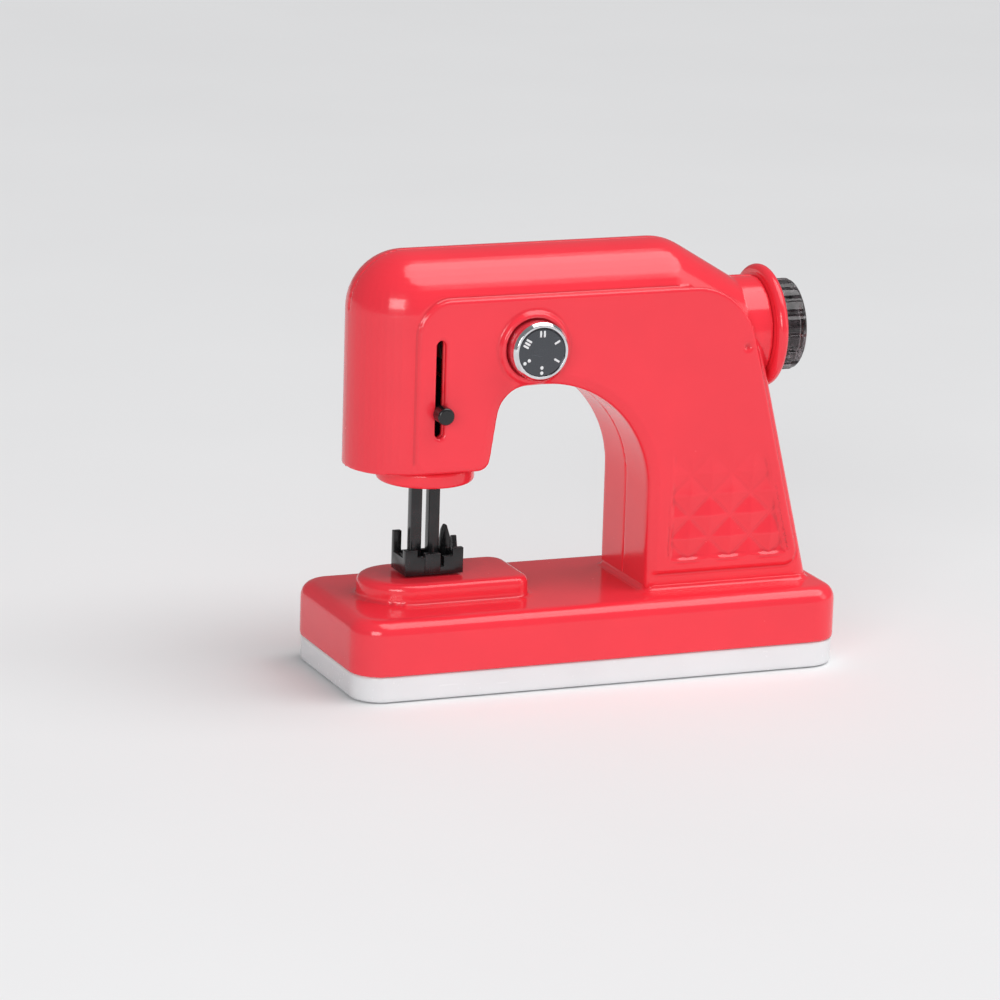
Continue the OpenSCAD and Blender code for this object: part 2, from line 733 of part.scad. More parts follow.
module motor_can() color([0.75, 0.76, 0.78]) difference() {
    union() {
        rod_x(frame_left_x - motor_l, frame_left_x, motor_d / 2, motor_z);
        rod_x(frame_left_x - eps, frame_left_x + frame_t, 3, motor_z);
    }
    rod_x(frame_left_x - motor_l - 1, frame_left_x + frame_t + 1, motor_shaft_d / 2 + run_clear, motor_z);
    for (y = [-1, 1])
        translate([frame_left_x - motor_l - 1, y * (motor_d / 2 - 1.2) - (y > 0 ? 0 : 2.4),
            motor_z - motor_d / 2])
            cube([motor_l + 2 - 1.5, 2.4, motor_d]);
}

module motor_end_cap() color([0.15, 0.15, 0.16]) difference() {
    rod_x(frame_left_x - motor_l - 1.5, frame_left_x - motor_l, motor_d / 2 - 1.5, motor_z);
    rod_x(frame_left_x - motor_l - 2, frame_left_x - motor_l + 1, motor_shaft_d / 2 + run_clear, motor_z);
}

module rotary_switch() color([0.2, 0.2, 0.22]) difference() {
    union() {
        rod_y(-inner_y + run_clear, -inner_y + switch_l, switch_r, dial_x, dial_z);
        for (a = [-1, 1])
            translate([dial_x + a * 6 - 1, -inner_y + switch_l - 0.1, dial_z - 2]) cube([2, 3.1, 4]);
    }
    rod_y(-inner_y - 1, -inner_y + switch_l - 2, spindle_d / 2 + run_clear, dial_x, dial_z);
}

// Involute tooth: half of its angle at radius r
function involute(a) = tan(a) * 180 / PI - a;
function tooth_half(r, rp) = 90 / (rp * 2 / gear_m) - backlash / 4 / rp * 180 / PI + involute(pressure)
    - involute(acos(min(1, rp * cos(pressure) / r)));
function gear_radii(rp) = [for (k = [0 : 4]) max(rp * cos(pressure), rp - dedendum)
    + k / 4 * (rp + addendum - max(rp * cos(pressure), rp - dedendum))];
function polar(r, a) = [r * cos(a), r * sin(a)];

module gear_outline(teeth, turned) {
    rp = gear_m * teeth / 2;
    radii = gear_radii(rp);
    root = rp - dedendum;
    polygon([for (i = [0 : teeth - 1]) let (c = 360 / teeth * i + turned) each concat(
        [polar(root, c - tooth_half(radii[0], rp))],
        [for (k = [0 : 4]) polar(radii[k], c - tooth_half(radii[k], rp))],
        [for (k = [4 : -1 : 0]) polar(radii[k], c + tooth_half(radii[k], rp))],
        [polar(root, c + tooth_half(radii[0], rp))])]);
}

module gear(x0, x1, teeth, z, bore_d, turned = 0) {
    plate_x(x0, x1) translate([0, z]) difference() {
        gear_outline(teeth, turned);
        circle(d = bore_d);
    }
}

module main_shaft() color("silver")
    rod_x(disc_x0, rim_x1 - 1, shaft_d / 2);

module main_gear() color([0.92, 0.9, 0.82]) {
    difference() {
        gear(main_gear_x, main_gear_x + gear_t, wheel_teeth, axis_z, shaft_d);
        for (a = [0 : 60 : 300])
            rod_x(main_gear_x - 1, main_gear_x + gear_t + 1, 2.6, axis_z + 8.6 * sin(a), 8.6 * cos(a));
    }
    difference() {
        rod_x(main_gear_x + gear_t - eps, main_gear_x + gear_t + 2, 4.5);
        rod_x(main_gear_x, main_gear_x + gear_t + 3, shaft_d / 2);
    }
}

module idler_gear() color([0.92, 0.9, 0.82]) {
    bore = idler_pin_d + 2 * run_clear;
    gear(big_idler_x, big_idler_x + gear_t, wheel_teeth, idler_z, bore);
    gear(big_idler_x + gear_t - eps, main_gear_x + gear_t + 1, pinion_teeth, idler_z, bore, 180 / pinion_teeth);
}

module motor_pinion() color([0.92, 0.9, 0.82])
    gear(big_idler_x, big_idler_x + gear_t + 1, pinion_teeth, motor_z, motor_shaft_d, 180 / pinion_teeth);

module motor_shaft() color("silver")
    rod_x(frame_left_x - motor_l - 1.2, big_idler_x + gear_t + 1, motor_shaft_d / 2, motor_z);

module crank_disc() color([0.9, 0.88, 0.8]) difference() {
    union() {
        rod_x(disc_x0, disc_x1, disc_r);
        rod_x(disc_x1 - eps, disc_x1 + 0.7, 4.5);
    }
    rod_x(disc_x0 - 1, disc_x1 + 2, shaft_d / 2);
    rod_x(disc_x0 - 1, disc_x1 + 2, crank_pin_d / 2, axis_z - crank_r);
    for (a = [30, 90, 150])
        rod_x(disc_x0 - 1, disc_x1 + 1, 3, axis_z + 9 * sin(a), 9 * cos(a));
}

module crank_pin() color("silver")
    rod_x(pin_end_x, disc_x1, crank_pin_d / 2, axis_z - crank_r);

module handwheel() color([0.93, 0.17, 0.2]) translate([0, 0, axis_z]) rotate([0, 90, 0]) difference() {
    rotate_extrude() difference() {
        union() {
            translate([0, wheel_x0]) square([rim_r - rim_t / 2, rim_t]);
            translate([rim_r - rim_t / 2, wheel_x0 + rim_t / 2]) circle(d = rim_t, $fn = 32);
        }
        translate([knob_r - 2, rim_x1 - 2.5]) square([2 + slide_clear, 5]);
    }
    translate([0, 0, wheel_x0 - 1]) cylinder(d = shaft_d, h = rim_t + 2);
}

module handwheel_knob() color([0.25, 0.24, 0.25, 0.6]) translate([0, 0, axis_z]) rotate([0, 90, 0])
    difference() {
    rotate_extrude() union() {
        translate([0, rim_x1]) square([knob_r - 1.5, knob_x - rim_x1]);
        translate([knob_r - 2, rim_x1 - 2.3]) square([2, knob_x - rim_x1 + 0.8]);
        translate([knob_r - 1.5, knob_x - 1.5]) circle(1.5, $fn = 32);
    }
    translate([0, 0, rim_x1 - 3]) cylinder(r = knob_r - 2.2, h = knob_x - rim_x1 + 0.6);
    for (i = [0 : knob_flutes - 1]) rotate(360 / knob_flutes * i)
        translate([knob_r + 1.2, 0, rim_x1 + 1]) cylinder(r = 2, h = knob_x - rim_x1, $fn = 24);
    translate([0, 0, knob_x - 3]) cylinder(d = screw_d, h = 6);
}

module handwheel_cap() color("silver") translate([0, 0, axis_z]) rotate([0, 90, 0]) {
    translate([0, 0, rim_x1 - 1]) cylinder(d = screw_d, h = knob_x - rim_x1 + 1.5);
    translate([0, 0, knob_x]) cylinder(r1 = cap_r, r2 = cap_r - 1, h = 1.2);
}

module needle_yoke() color([0.13, 0.13, 0.14]) difference() {
    union() {
        plate_x(yoke_x0, yoke_x1) {
            translate([-yoke_half + yoke_h / 2, yoke_z - yoke_h / 2]) square([2 * yoke_half - yoke_h, yoke_h]);
            for (y = [-1, 1]) translate([y * (yoke_half - yoke_h / 2), yoke_z]) circle(d = yoke_h);
            translate([-block_y, block_z]) square([2 * block_y, yoke_z - block_z]);
        }
        translate([block_x0, -block_y, block_z]) cube([yoke_x1 - block_x0, 2 * block_y, block_h]);
    }
    plate_x(yoke_x0 - 1, yoke_x1 + 1) {
        slot = crank_pin_d + 2 * slide_clear;
        translate([-crank_r - 1, yoke_z - slot / 2]) square([2 * crank_r + 2, slot]);
        for (y = [-1, 1]) translate([y * (crank_r + 1), yoke_z]) circle(d = slot);
    }
    translate([0, 0, block_z - 1]) linear_extrude(block_h - 1) bar_sections(0);
}

module take_up_lever() color([0.1, 0.1, 0.11]) {
    translate([lever_x - lever_w / 2, -block_y, lever_z - lever_h / 2])
        cube([yoke_x0 - lever_x + lever_w / 2, 2 * block_y, lever_h]);
    translate([lever_x - lever_w / 2, panel_y - lever_gap - eps, lever_z - lever_h / 2])
        cube([lever_w, -panel_y + lever_gap, lever_h]);
    translate([lever_x, panel_y - lever_gap, lever_z]) rotate([90, 0, 0]) rotate_extrude() {
        square([lever_knob_r, lever_knob_l - 2]);
        square([lever_knob_r - 1, lever_knob_l - 1]);
        translate([lever_knob_r - 1, lever_knob_l - 2]) circle(1, $fn = 32);
    }
}

module square_bar(x) {
    translate([x - bar_s / 2, -bar_s / 2, foot_z + foot_floor])
        cube([bar_s, bar_s, block_z + block_h - 2 - foot_z - foot_floor]);
}

module needle_bar() color([0.1, 0.1, 0.11])
    square_bar(needle_x - bar_pitch / 2);

module presser_bar() color([0.1, 0.1, 0.11])
    square_bar(needle_x + bar_pitch / 2);

// Open square clip: a floor, low notched walls and posts of different heights
module presser_foot() color([0.09, 0.09, 0.1]) translate([needle_x + foot_shift, 0, foot_z]) {
    left = -foot_w / 2;
    front = -foot_d / 2;
    step = foot_w / 24;
    translate([left, front, 0]) cube([foot_w, foot_d, foot_floor]);
    upright(front, front + foot_wall) translate([left, 0]) polygon([[0, 1], [0, foot_post_h],
        [5 * step, foot_post_h],
        [5 * step, foot_side_h + 0.4], [8 * step, foot_side_h + 0.4], [8 * step, foot_side_h + 1.8],
        [14.4 * step, foot_side_h + 1.8], [14.4 * step, foot_floor], [16 * step, foot_floor],
        [16 * step, foot_side_h + 0.3], [19.6 * step, foot_side_h + 0.3], [19.6 * step, foot_post_h],
        [foot_w, foot_post_h], [foot_w, 1]]);
    translate([left + 8 * step, front - foot_proud, 1]) cube([6.4 * step, foot_proud + 1, foot_side_h + 0.8]);
    upright(-front - foot_wall, -front) translate([left, 0]) polygon([[0, 1], [0, foot_rear_h],
        [3.4, foot_rear_h],
        [3.4, foot_side_h], [foot_w - 5, foot_side_h], [foot_w - 4, foot_horn_h - 2], [foot_w - 3, foot_horn_h],
        [foot_w - 2, foot_horn_h], [foot_w, foot_side_h + 3], [foot_w, 1]]);
    plate_x(left, left + foot_wall) polygon([[front, 1], [front, foot_post_h], [front + 3.4, foot_post_h],
        [front + 3.4, foot_side_h], [-front, foot_side_h], [-front, 1]]);
    plate_x(-left - foot_wall, -left) polygon([[front, 1], [front, foot_side_h + 1], [-1.5, foot_side_h + 1],
        [0, foot_horn_h - 3], [1, foot_horn_h - 3], [2, foot_side_h], [-front, foot_side_h], [-front, 1]]);
}

module dial_spindle() color("silver")
    rod_y(dial_y - 3, -inner_y + switch_l - 2.2, spindle_d / 2, dial_x, dial_z);

module dial_knob() color([0.8, 0.81, 0.83]) translate([dial_x, dial_y, dial_z]) rotate([90, 0, 0])
    rotate_extrude() difference() {
        union() {
            translate([spindle_d / 2, 0]) square([dial_r - spindle_d / 2, dial_h - 1.2]);
            translate([spindle_d / 2, 0]) square([dial_r - 1.2 - spindle_d / 2, dial_h]);
            translate([dial_r - 1.2, dial_h - 1.2]) circle(1.2, $fn = 32);
        }
        translate([0, dial_h - 1]) square([dial_r - 2, 2]);
    }

module dial_face() color([0.2, 0.2, 0.21]) translate([dial_x, dial_y - dial_h + 1, dial_z])
    rotate([90, 0, 0]) difference() {
        cylinder(r = dial_r - 2 - run_clear, h = 0.8);
        translate([0, 0, -1]) cylinder(d = 1, h = 0.5);
    }

base_cover();
base_shell();
battery_box();
battery_door();
battery_contacts();
door_screw();
base_screws();
column_screws();
rear_jack();
front_shell();
rear_shell();
shell_screws();
head_collar();
bar_guide();
head_bearing();
gearbox_left_plate();
gearbox_right_plate();
gearbox_posts();
idler_pin();
motor_can();
motor_end_cap();
rotary_switch();
main_shaft();
main_gear();
crank_disc();
crank_pin();
handwheel();
handwheel_knob();
handwheel_cap();
idler_gear();
motor_pinion();
motor_shaft();
needle_yoke();
take_up_lever();
needle_bar();
presser_bar();
presser_foot();
dial_spindle();
dial_knob();
dial_face();
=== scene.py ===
"""Looks of a toy sewing machine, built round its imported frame.

Metres, X to the hand wheel, Y to the back, Z up.
"""

import math

import bmesh
import bpy
from mathutils import Matrix, Vector
from mathutils.kdtree import KDTree


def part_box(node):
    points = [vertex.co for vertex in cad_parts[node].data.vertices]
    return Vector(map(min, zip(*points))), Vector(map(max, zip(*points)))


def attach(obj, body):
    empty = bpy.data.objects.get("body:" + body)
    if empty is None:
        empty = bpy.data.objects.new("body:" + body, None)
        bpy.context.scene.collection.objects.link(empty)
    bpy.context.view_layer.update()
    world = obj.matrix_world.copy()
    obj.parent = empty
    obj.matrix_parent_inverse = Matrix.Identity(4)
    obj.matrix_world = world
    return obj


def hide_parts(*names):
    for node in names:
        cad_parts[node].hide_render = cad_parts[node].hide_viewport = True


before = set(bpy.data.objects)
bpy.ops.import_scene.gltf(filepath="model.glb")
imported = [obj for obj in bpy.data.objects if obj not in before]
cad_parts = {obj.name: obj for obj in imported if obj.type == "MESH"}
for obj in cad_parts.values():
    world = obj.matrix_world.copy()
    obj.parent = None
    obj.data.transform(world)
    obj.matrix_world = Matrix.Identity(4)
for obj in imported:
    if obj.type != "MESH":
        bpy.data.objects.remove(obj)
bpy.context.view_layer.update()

# Bottom cover: a white ABS tray that closes the base from below.
# It is moulded in one shot, with a soft lower edge, and four screws hold it to the base.


class Wire:
    """One socket among a material's nodes, so that shader maths reads as arithmetic."""

    def __init__(self, tree, socket):
        self.tree = tree
        self.socket = socket

    def node(self, kind, settings=None, pick=0, **sockets):
        """Adds a node of this kind: its settings first, then the value or link of each named socket."""
        made = self.tree.nodes.new(kind)
        for key, value in (settings or {}).items():
            setattr(made, key, value)
        for key, value in sockets.items():
            match = [s for s in made.inputs if key == s.identifier] or [
                s for s in made.inputs if key == s.name.replace(" ", "_")]
            join(self.tree, match[0], value)
        return Wire(self.tree, made.outputs[pick])

    def math(self, operation, other):
        """A Math node on this value and one other."""
        return self.node("ShaderNodeMath", {"operation": operation}, Value=self, Value_001=other)

    def __add__(self, other):
        return self.math("ADD", other)

    __radd__ = __add__

    def __mul__(self, other):
        return self.math("MULTIPLY", other)

    __rmul__ = __mul__

    def __sub__(self, other):
        return self.math("SUBTRACT", other)

    def __rsub__(self, other):
        return self * -1 + other

    def between(self, low, high):
        """0 at low, 1 at high, and held there beyond them."""
        return self.node("ShaderNodeMapRange", {"clamp": True}, Value=self, From_Min=low, From_Max=high)


def join(tree, socket, value):
    """Links a wire to a socket, or sets the socket to a plain value."""
    if isinstance(value, Wire):
        tree.links.new(value.socket, socket)
    else:
        socket.default_value = value


def new_finish(name):
    """A new material, the place on the piece in metres, and its surface shader."""
    material = bpy.data.materials.new(name)
    material.use_nodes = True
    tree = material.node_tree
    place = Wire(tree, tree.nodes.new("ShaderNodeTexCoord").outputs["Object"])
    return material, place, tree.nodes["Principled BSDF"]


def tint(mask, first, second):
    """A colour that goes from the first to the second as the mask goes from 0 to 1."""
    return mask.node("ShaderNodeMix", {"data_type": "RGBA"}, pick=2,
                     Factor_Float=mask, A_Color=first, B_Color=second)


def grain(place, size, detail=2.0):
    """Soft random cloud whose spots are about this many metres across."""
    return place.node("ShaderNodeTexNoise", Vector=place, Scale=1 / size, Detail=detail, Roughness=0.5)


def scratches(place, size, turn):
    """Fine straight rub marks, 0 where there is none and 1 in a mark."""
    streak = place.node("ShaderNodeMapping", Vector=place, Rotation=turn, Scale=(1.0, 24.0, 9.0))
    return grain(streak, size, detail=3.0).between(0.64, 0.74)


def shade(colour, share):
    """A colour made darker or lighter by a share."""
    return tuple(c * share for c in colour[:3]) + (1.0,)


def bumped(surface, height, strength, depth):
    """Gives a surface fine relief from a height, its depth in metres."""
    bump = height.node("ShaderNodeBump", Height=height, Strength=strength, Distance=depth)
    join(height.tree, surface.inputs["Normal"], bump)


def moulded_plastic(name, colour, pale, gloss, peel):
    """Glossy plastic: cloudy pigment, paler edges, painted shade in the creases, rub marks and a faint
    orange peel.
    """
    material, place, surface = new_finish(name)
    cloud = grain(place, size=0.035, detail=3.0)
    bend = place.node("ShaderNodeNewGeometry", pick="Pointiness")
    edge = bend.between(0.53, 0.62)
    # Painted shade: concave creases are darkened in colour to stand in for the shade that falls in them.
    crease_shade_mask = bend.between(0.495, 0.45)
    rubbed = edge * grain(place, size=0.006).between(0.35, 0.7) * 0.35
    pigment = tint(cloud.between(0.3, 0.7), shade(colour, 0.94), colour)
    marks = scratches(place, size=0.02, turn=(0.4, 0.9, 0.2))
    specks = grain(place, size=0.0016, detail=1.0).between(0.7, 0.78)
    crease_shaded_pigment = tint(crease_shade_mask * 0.5, pigment, shade(colour, 0.45))
    unevenness = 0.07 * grain(place, size=0.012, detail=3.0)
    join(material.node_tree, surface.inputs["Base Color"], tint(rubbed, crease_shaded_pigment, pale))
    join(material.node_tree, surface.inputs["Roughness"],
         gloss + unevenness + 0.10 * marks + 0.08 * specks + 0.10 * rubbed)
    surface.inputs["IOR"].default_value = 1.53
    bumped(surface, grain(place, size=peel) - 0.25 * marks, strength=0.12, depth=0.00012)
    return material


def dress(material, *nodes):
    """Gives CAD nodes that stay in sight a finish."""
    for node in nodes:
        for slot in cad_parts[node].material_slots:
            slot.material = material


def bake_shape(piece):
    """Turns a piece's modifiers into its own mesh."""
    graph = bpy.context.evaluated_depsgraph_get()
    mesh = bpy.data.meshes.new_from_object(piece.evaluated_get(graph))
    piece.modifiers.clear()
    piece.data = mesh


def placed(name, work):
    """A new object in the scene from a finished mesh."""
    mesh = bpy.data.meshes.new(name)
    work.to_mesh(mesh)
    work.free()
    piece = bpy.data.objects.new(name, mesh)
    bpy.context.collection.objects.link(piece)
    return piece


def joined_up(node):
    """A copy of a node's mesh with its faces joined at their corners."""
    work = bmesh.new()
    work.from_mesh(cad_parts[node].data)
    bmesh.ops.remove_doubles(work, verts=work.verts, dist=2e-6)
    return work


def finish_piece(piece, material, body, slot, *nodes):
    """Gives a piece its finish and its body, and hides the nodes that it stands for. Its slot argument is
    not used.
    """
    piece.data.materials.clear()
    piece.data.materials.append(material)
    piece.data.polygons.foreach_set("use_smooth", [True] * len(piece.data.polygons))
    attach(piece, body)
    if nodes:
        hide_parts(*nodes)


def smooth_zone(piece, zone, passes):
    """Smooths a piece where a vertex group says so, as strongly as it says."""
    smooth = piece.modifiers.new("soft", "SMOOTH")
    smooth.factor = 0.5
    smooth.iterations = passes
    smooth.vertex_group = zone.name
    bake_shape(piece)
    piece.vertex_groups.clear()


SEAM_SHARE = 0.4


def softened(name, node, cell, passes, seam=-1.0):
    """A node's moulding with the edge radii that its mould leaves, smaller this near to a middle seam."""
    piece = placed(name, joined_up(node))
    remesh = piece.modifiers.new("cells", "REMESH")
    remesh.mode = "VOXEL"
    remesh.voxel_size = cell
    bake_shape(piece)
    zone = piece.vertex_groups.new(name="edges")
    zone.add([v.index for v in piece.data.vertices if abs(v.co.y) > seam], 1.0, "REPLACE")
    zone.add([v.index for v in piece.data.vertices if abs(v.co.y) <= seam], SEAM_SHARE, "REPLACE")
    smooth_zone(piece, zone, passes)
    return piece


white_abs = moulded_plastic("white_abs", (0.83, 0.835, 0.85, 1), (0.9, 0.9, 0.9, 1),
                            gloss=0.2, peel=0.0022)
cover = softened("bottom_cover", "base_cover", cell=0.0008, passes=4)
finish_piece(cover, white_abs, "machine", "cover_white", "base_cover")

# Battery compartment: a black box under the platform with a white door and nickel-plated contact plates.
# The door hooks in on its left side and one small screw holds it.

black_abs = moulded_plastic("black_abs", (0.007, 0.007, 0.008, 1), (0.04, 0.04, 0.043, 1),
                            gloss=0.2, peel=0.0016)


def eased(name, node, radius, steps=3):
    """A node's piece with its sharp edges broken to a small radius."""
    work = joined_up(node)
    bmesh.ops.dissolve_limit(work, angle_limit=math.radians(2), verts=work.verts, edges=work.edges)
    piece = placed(name, work)
    bevel = piece.modifiers.new("edges", "BEVEL")
    bevel.width = radius
    bevel.segments = steps
    bevel.limit_method = "ANGLE"
    bevel.angle_limit = math.radians(40)
    even = piece.modifiers.new("even", "WEIGHTED_NORMAL")
    even.keep_sharp = True
    bake_shape(piece)
    return piece


door = eased("battery_hatch", "battery_door", radius=0.0003)
finish_piece(door, white_abs, "machine", "cover_white", "battery_door")
dress(black_abs, "battery_box")


def plated_metal(name, colour, gloss, brushing):
    """Plated or turned metal: cloudy gloss and fine turning lines."""
    material, place, surface = new_finish(name)
    cloud = grain(place, size=0.004, detail=3.0)
    lines = grain(place.node("ShaderNodeMapping", Vector=place, Scale=(1.0, 1.0, 30.0)), size=0.004)
    surface.inputs["Metallic"].default_value = 1.0
    join(material.node_tree, surface.inputs["Base Color"],
         tint(cloud.between(0.35, 0.7), colour, shade(colour, 0.82)))
    join(material.node_tree, surface.inputs["Roughness"], gloss + 0.06 * cloud + brushing * lines)
    bumped(surface, lines, strength=0.06, depth=0.00006)
    return material


bright_steel = plated_metal("bright_steel", (0.7, 0.71, 0.73, 1), gloss=0.2, brushing=0.14)
dress(bright_steel, "battery_contacts", "door_screw", "base_screws", "column_screws", "shell_screws")

# Base: a red ABS box with soft upper edges and a raised work platform on its left.
# A black plug socket sits flush in its back wall.

coral_abs = moulded_plastic("coral_abs", (0.94, 0.036, 0.058, 1), (0.95, 0.2, 0.21, 1),
                            gloss=0.13, peel=0.0025)
base = softened("red_base", "base_shell", cell=0.0008, passes=5)
finish_piece(base, coral_abs, "machine", "shell_red", "base_shell")
socket = eased("plug_socket", "rear_jack", radius=0.0003)
finish_piece(socket, black_abs, "machine", "black_plastic", "rear_jack")

# Gearbox and motor: two moulded plates on posts carry the gear train inside the column.
# The gears are natural nylon, and the motor is a plated can with a black end cap.


def natural_nylon(name, colour):
    """Undyed nylon: a waxy, slightly mottled cream."""
    material, place, surface = new_finish(name)
    cloud = grain(place, size=0.003, detail=3.0)
    join(material.node_tree, surface.inputs["Base Color"], tint(cloud, shade(colour, 0.86), colour))
    join(material.node_tree, surface.inputs["Roughness"], 0.42 + 0.15 * cloud)
    bumped(surface, grain(place, size=0.0009), strength=0.1, depth=0.00008)
    return material


nylon = natural_nylon("natural_nylon", (0.78, 0.75, 0.64, 1))
dress(nylon, "gearbox_left_plate", "gearbox_right_plate", "gearbox_posts", "main_gear", "idler_gear",
      "motor_pinion", "crank_disc", "head_bearing")
dress(bright_steel, "idler_pin", "motor_can", "motor_shaft", "main_shaft", "crank_pin")
dress(black_abs, "motor_end_cap", "rotary_switch", "bar_guide")

# Body: two red ABS halves that meet on the machine's middle, head, arm and column in one moulding.
# The front half carries the raised panel, the quilted field, the lever's slot and the ring round the dial.
# Screws from the back join the halves, and screws from below hold them to the base.

HALF_DEPTH, COLUMN_FOOT = 0.0235, 0.033
THROAT_WALL, THROAT_FOOT = 0.0235, 0.034
ARCH_TOP, ARCH_R = 0.121, 0.046
HEAD_UNDER, HEAD_LEFT, HEAD_RIGHT, HEAD_ARCH = 0.0873, -0.098, -0.0457, -0.0408
HEAD_CORNER, ARCH_HEAD_R, ARCH_HEAD_IN = 0.0048, 0.013, 0.0012


def arc(centre, radius, start, end, steps):
    """Points on an arc, its angles in degrees."""
    turn = [math.radians(start + (end - start) * i / steps) for i in range(steps + 1)]
    return [(centre[0] + radius * math.cos(t), centre[1] + radius * math.sin(t)) for t in turn]


def throat_line():
    """The edge of head, arch and throat in front view, from the head's left end to the column's foot."""
    lean = math.degrees(math.atan2(HEAD_ARCH - HEAD_RIGHT, ARCH_TOP - HEAD_UNDER))
    head_centre = (HEAD_ARCH + ARCH_HEAD_R - ARCH_HEAD_IN, ARCH_TOP - ARCH_HEAD_R)
    return [(HEAD_LEFT, HEAD_UNDER), (HEAD_RIGHT - HEAD_CORNER, HEAD_UNDER),
            (HEAD_RIGHT, HEAD_UNDER + HEAD_CORNER),
            *arc(head_centre, ARCH_HEAD_R, 180 - lean, 90, steps=8),
            *arc((THROAT_WALL - ARCH_R, ARCH_TOP - ARCH_R), ARCH_R, 90, 0, steps=16),
            (THROAT_WALL, THROAT_FOOT)]


def line_points(line, step=0.00005):
    """A finder of the nearest point on a line in front view, from points set close along it."""
    spots = [Vector((line[-1][0], 0, line[-1][1]))]
    for (ax, az), (bx, bz) in zip(line, line[1:]):
        count = math.ceil(math.hypot(bx - ax, bz - az) / step)
        spots += [Vector((ax + (bx - ax) * i / count, 0, az + (bz - az) * i / count)) for i in range(count)]
    finder = KDTree(len(spots))
    for i, spot in enumerate(spots):
        finder.insert(spot, i)
    finder.balance()
    return finder


def round_throat(piece, reach, passes):
    """Rolls over the edges of head and throat in a wide radius, fully within half of this reach."""
    edge = line_points(throat_line())
    zone = piece.vertex_groups.new(name="rolled_edge")
    for v in piece.data.vertices:
        if abs(v.co.y) < HALF_DEPTH - reach or v.co.z > ARCH_TOP + reach or v.co.x > THROAT_WALL + reach:
            continue
        gap = edge.find((v.co.x, 0, v.co.z))[2]
        if gap < reach:
            zone.add([v.index], min(1.0, 2.0 * (1 - gap / reach)), "REPLACE")
    smooth_zone(piece, zone, passes)


def soft_line(corners, steps=5):
    """A line of corners (a, b, radius), each turned into an arc of its radius."""
    line = []
    for i, (a, b, radius) in enumerate(corners):
        if radius == 0:
            line.append((a, b))
            continue
        here = Vector((a, b))
        back = Vector(corners[i - 1][:2]) - here
        ahead = Vector(corners[(i + 1) % len(corners)][:2]) - here
        half = back.angle(ahead) / 2
        reach = radius / math.tan(half)
        middle = here + (back.normalized() + ahead.normalized()).normalized() * radius / math.sin(half)
        first = here + back.normalized() * reach - middle
        last = here + ahead.normalized() * reach - middle
        sweep = first.angle_signed(last)
        for k in range(steps + 1):
            point = middle + Matrix.Rotation(-sweep * k / steps, 2) @ first
            line.append((point.x, point.y))
    return line


PANEL_Y, FACE_REACH, FACING_FRONT, COLUMN_LEAN = -0.0243, 0.0022, -0.5, 0.2451
PANEL_GROOVE = [(-0.0777, 0.0398, 0.0057), (0.0919, 0.0398, 0.0057),
                (0.0632, 0.1581, 0.0287), (-0.0777, 0.1581, 0.0147)]
GROOVE_HALF, GROOVE_DEPTH = 0.0012, 0.0004
DIMPLE_X, DIMPLE_Z, DIMPLE_R, DIMPLE_DEPTH = 0.0647, 0.132, 0.0026, 0.0011
QUILT_LEFT, QUILT_RIGHT, QUILT_LOW, QUILT_HIGH = 0.033, 0.089, 0.0445, 0.094
DIAMOND, QUILT_DEPTH, QUILT_FRAME, QUILT_RUN_OUT = 0.009, 0.0015, 0.002, 0.025


def press_panel(piece):
    """Presses the panel's groove, the dimple and the field of raised diamonds into the front face."""
    corners = soft_line(PANEL_GROOVE, steps=10)
    groove = line_points(corners + corners[:1])
    for v in piece.data.vertices:
        x, z = v.co.x, v.co.z
        if v.co.y > PANEL_Y + FACE_REACH or v.normal.y > FACING_FRONT:
            continue
        gap = groove.find((x, 0, z))[2] / GROOVE_HALF
        if gap < 1:
            v.co.y += GROOVE_DEPTH * (1 - gap * gap) ** 2
        out = math.hypot(x - DIMPLE_X, z - DIMPLE_Z) / DIMPLE_R
        if out < 1:
            v.co.y = PANEL_Y + DIMPLE_DEPTH * (1 - out * out) ** 2
        if not QUILT_LOW < z < QUILT_HIGH:
            continue
        border = min(x - QUILT_LEFT, QUILT_RIGHT - COLUMN_LEAN * (z - COLUMN_FOOT) - x, z - QUILT_LOW)
        if border < 0:
            continue
        across, up = (x - QUILT_LEFT) / DIAMOND, (z - QUILT_LOW) / DIAMOND
        one, other = (across + up) / 2, (across - up) / 2
        slope = 2 * max(abs(one - round(one)), abs(other - round(other)))
        run_out = min(1.0, (QUILT_HIGH - z) / QUILT_RUN_OUT)
        frame_edge = min(1.0, border / QUILT_FRAME)
        v.co.y = PANEL_Y + QUILT_DEPTH * run_out * slope * frame_edge ** 2 * (3 - 2 * frame_edge)


for half in ("front", "rear"):
    shell = softened(half + "_half", half + "_shell", cell=0.0007, passes=3, seam=0.001)
    if half == "front":
        press_panel(shell)
    round_throat(shell, reach=0.005, passes=40)
    finish_piece(shell, coral_abs, "machine", "shell_red", half + "_shell")

# Foot of the column: the halves run out onto the base in a small hollow radius.
# It is part of the same red moulding, and hides the seam to the base all round.

COLUMN_RIGHT, COLUMN_LEFT_EDGE, COLUMN_RIGHT_EDGE = 0.0966, 0.004, 0.006
FOOT_HOLLOW, FOOT_IN, FOOT_UNDER = 0.0022, 0.0012, 0.0002


def plan_loop(left, right, half, radius_left, radius_right, steps=8):
    """A rectangle's outline seen from above, anticlockwise, with its outward normals."""
    loop = []
    for x, y, start, r in ((right, -half, -90, radius_right), (right, half, 0, radius_right),
                           (left, half, 90, radius_left), (left, -half, 180, radius_left)):
        middle = (x - math.copysign(r, x - (left + right) / 2), y - math.copysign(r, y))
        for k in range(steps + 1):
            turn = math.radians(start + 90 * k / steps)
            out = Vector((math.cos(turn), math.sin(turn), 0))
            loop.append((Vector((middle[0], middle[1], 0)) + out * r, out))
    return loop


